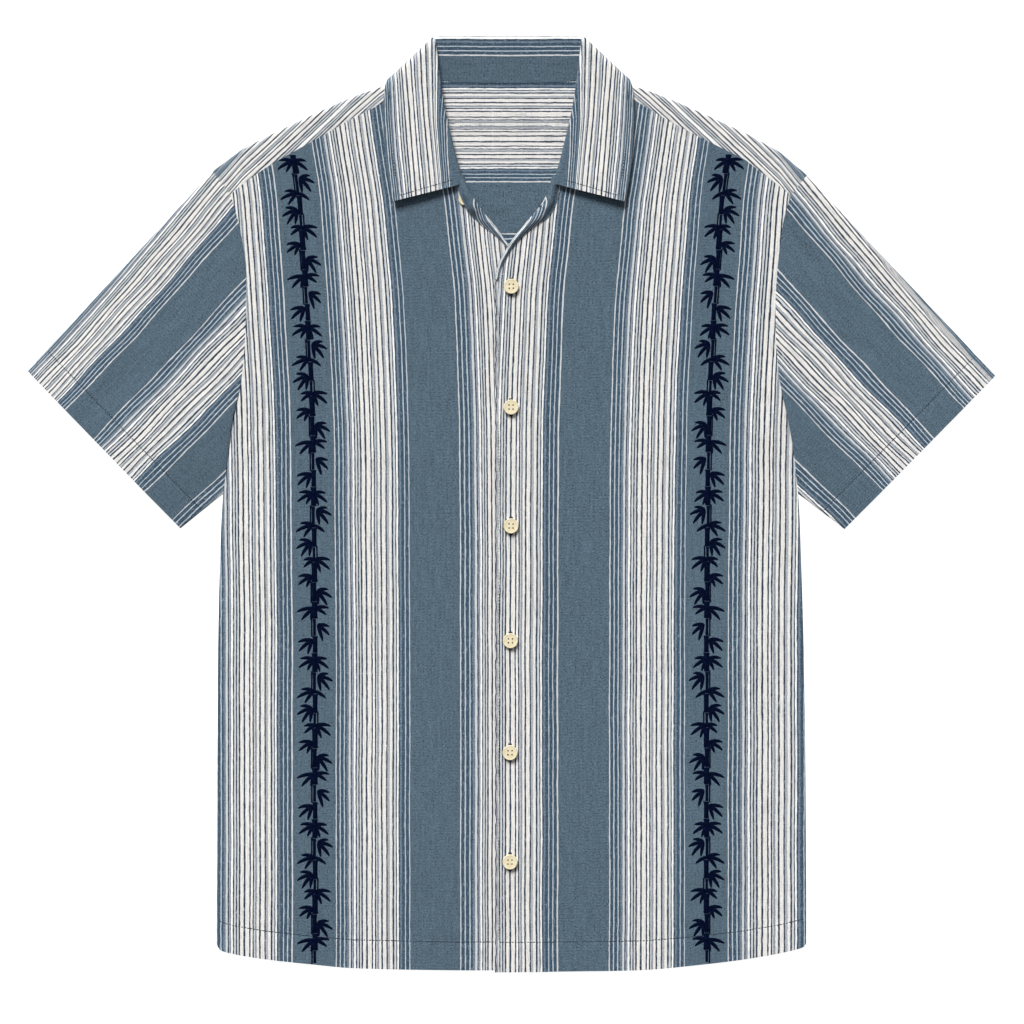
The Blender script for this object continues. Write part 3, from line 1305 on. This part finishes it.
def satin_thread():
    """Mercerised rayon embroidery thread laid side by side: dark, with a soft gloss that follows
    the stitches. The lines are drawn at 0.8 mm, twice the real thread, so that they show."""
    material, tree, shader = new_material("rayon_satin_stitch")
    spot = add(tree, "ShaderNodeUVMap", {}, uv_map="thread").outputs[0]
    slanted = {"Vector": spot, "Rotation": (0, 0, math.radians(34))}
    threads = add(
        tree, "ShaderNodeTexWave", {
            "Vector": add(tree, "ShaderNodeMapping", slanted).outputs[0],
            "Scale": 0.4, "Distortion": 0.8, "Detail": 1.0, "Detail Scale": 2.0,
        },
        wave_type="BANDS", bands_direction="X",
    ).outputs["Fac"]
    wear = add(tree, "ShaderNodeTexNoise", {"Vector": spot, "Scale": 0.35, "Detail": 3.0})
    gloss = add(tree, "ShaderNodeMapRange", {
        "Value": wear.outputs["Fac"], "From Min": 0.5, "From Max": 0.75, "To Max": 0.6,
    }).outputs[0]
    look = linear(COLOURS["satin shadow"])
    for share, colour in ((threads, "satin thread"), (gloss, "satin gloss")):
        parts = {0: share, UNDER: look, COVER: linear(COLOURS[colour])}
        look = add(tree, "ShaderNodeMix", parts, data_type="RGBA").outputs[MIXED]
    relief = add(tree, "ShaderNodeBump", {"Height": threads, "Strength": 0.5, "Distance": 0.0002})
    plug(tree, shader, {
        "Base Color": look, "Normal": relief.outputs[0], "Roughness": 0.75,
        "Specular IOR Level": 0.02,
    })
    return material


def spun_thread(name, colour):
    """Spun polyester sewing thread: matt, with a twist that shows as light and dark flecks."""
    material, tree, shader = new_material(name)
    spot = add(tree, "ShaderNodeTexCoord", {}).outputs["Object"]
    noise = {"Vector": spot, "Scale": 1800.0, "Detail": 2.0}
    twist = add(tree, "ShaderNodeTexNoise", noise).outputs["Fac"]
    tone = add(tree, "ShaderNodeMapRange", {"Value": twist, "To Min": 0.7, "To Max": 1.3})
    look = {"Color": linear(colour), "Value": tone.outputs[0]}
    relief = add(tree, "ShaderNodeBump", {"Height": twist, "Strength": 0.4, "Distance": 0.0001})
    plug(tree, shader, {
        "Base Color": add(tree, "ShaderNodeHueSaturation", look).outputs[0],
        "Normal": relief.outputs[0], "Roughness": 0.75,
    })
    return material


def cast_button_resin():
    """Cast and turned polyester resin, horn-like cream: a low gloss, with faint deeper clouds."""
    material, tree, shader = new_material("cast_button_resin")
    spot = add(tree, "ShaderNodeTexCoord", {}).outputs["Object"]
    clouds, scratches = (
        add(tree, "ShaderNodeTexNoise", {"Vector": spot, "Scale": scale, "Detail": detail})
        for scale, detail in ((260.0, 4.0), (2500.0, 2.0))
    )
    share = add(tree, "ShaderNodeMapRange", {
        "Value": clouds.outputs["Fac"], "From Min": 0.35, "From Max": 0.7,
    })
    colours = {UNDER: linear(COLOURS["button"]), COVER: linear(COLOURS["button cloud"])}
    look = add(tree, "ShaderNodeMix", {0: share.outputs[0], **colours}, data_type="RGBA")
    relief = add(tree, "ShaderNodeBump", {
        "Height": scratches.outputs["Fac"], "Strength": 0.08, "Distance": 0.0001,
    })
    plug(tree, shader, {
        "Base Color": look.outputs[MIXED], "Normal": relief.outputs[0], "Roughness": 0.36,
        "Coat Weight": 0.2, "Coat Roughness": 0.2,
    })
    return material


def matt_paper():
    """Matt paper on a light table, which shines through it: plain, with almost no texture."""
    material, tree, shader = new_material("matt_paper")
    spot = add(tree, "ShaderNodeTexCoord", {}).outputs["Object"]
    grain = add(tree, "ShaderNodeTexNoise", {"Vector": spot, "Scale": 400.0}).outputs["Fac"]
    relief = add(tree, "ShaderNodeBump", {"Height": grain, "Strength": 0.02, "Distance": 0.0001})
    plug(tree, shader, {
        "Base Color": linear(COLOURS["paper"]), "Normal": relief.outputs[0], "Roughness": 1.0,
        "Emission Color": linear(COLOURS["lit paper"]), "Emission Strength": 0.95,
        "Specular IOR Level": 0.0,
    })
    return material


# The shirt

cloth = yarn_dyed_cloth()
satin = satin_thread()
sewing = spun_thread("spun_sewing_thread", COLOURS["sewing thread"])
dark_sewing = spun_thread("buttonhole_thread", COLOURS["buttonhole thread"])
resin = cast_button_resin()

back = make_back(cloth)
fronts = {side: make_front(side, cloth) for side in SIDES}
yoke = make_yoke(cloth)
sleeves = {side: make_sleeve(side, cloth) for side in SIDES}
collar = make_collar(cloth)
facings = {side: make_facing(side, cloth) for side in SIDES}
placket_edge = make_placket_edge(cloth)

make_body_stitching(sewing)
sleeve_stitching = {side: make_sleeve_stitching(side, sewing) for side in SIDES}
collar_stitching = make_collar_stitching(sewing)
buttonholes = make_buttonholes(dark_sewing)
make_seam_stitching(dark_sewing)
bamboo = {side: make_bamboo(side, satin) for side in SIDES}

for k, (x, y) in enumerate(BUTTONS):
    place = x, y, upper_layer(x, y) + OVERLAP_LIFT + WALL + 0.1
    name = f"button_{k + 1}"
    make_button(f"{name}_resin", name, place, BUTTON_SIZES, resin, dark_sewing)
place = (*NECK_BUTTON, upper_layer(*NECK_BUTTON) + WALL)
make_button("neck_button_resin", "button_neck", place, NECK_BUTTON_SIZES, resin, dark_sewing)

# Floor, light and camera

FLOOR_HALF = 15.0       # metres, past all that the camera sees
bm = bmesh.new()
below = Matrix.Translation((0, 0, -0.4 * MM))
bmesh.ops.create_grid(bm, x_segments=1, y_segments=1, size=FLOOR_HALF, matrix=below)
floor_mesh = bpy.data.meshes.new("paper_floor")
bm.to_mesh(floor_mesh)
bm.free()
floor_mesh.materials.append(matt_paper())
place_object("paper_floor", floor_mesh)

scene = bpy.context.scene
scene.view_settings.view_transform = "Standard"
scene.world = bpy.data.worlds.new("studio")
scene.world.use_nodes = True
background = scene.world.node_tree.nodes["Background"]
plug(scene.world.node_tree, background, {"Color": linear(COLOURS["studio"]), "Strength": 0.22})

# One broad light from far off: 18 degrees left of the top of the picture, and 37 up
azimuth, elevation = math.radians(18), math.radians(37)
key = bpy.data.lights.new("key_softbox", "SUN")
key.energy = 4.5
key.angle = math.radians(25)
source = Vector((
    -math.sin(azimuth) * math.cos(elevation), math.cos(azimuth) * math.cos(elevation),
    math.sin(elevation),
))
place_object("key_softbox", key).rotation_euler = source.to_track_quat("Z", "Y").to_euler()

eye = bpy.data.cameras.new("overhead")
eye.lens = 85
eye.sensor_width = 36
scene.camera = place_object("overhead", eye)
scene.camera.location = (0.00035, -0.0070, 2.132)
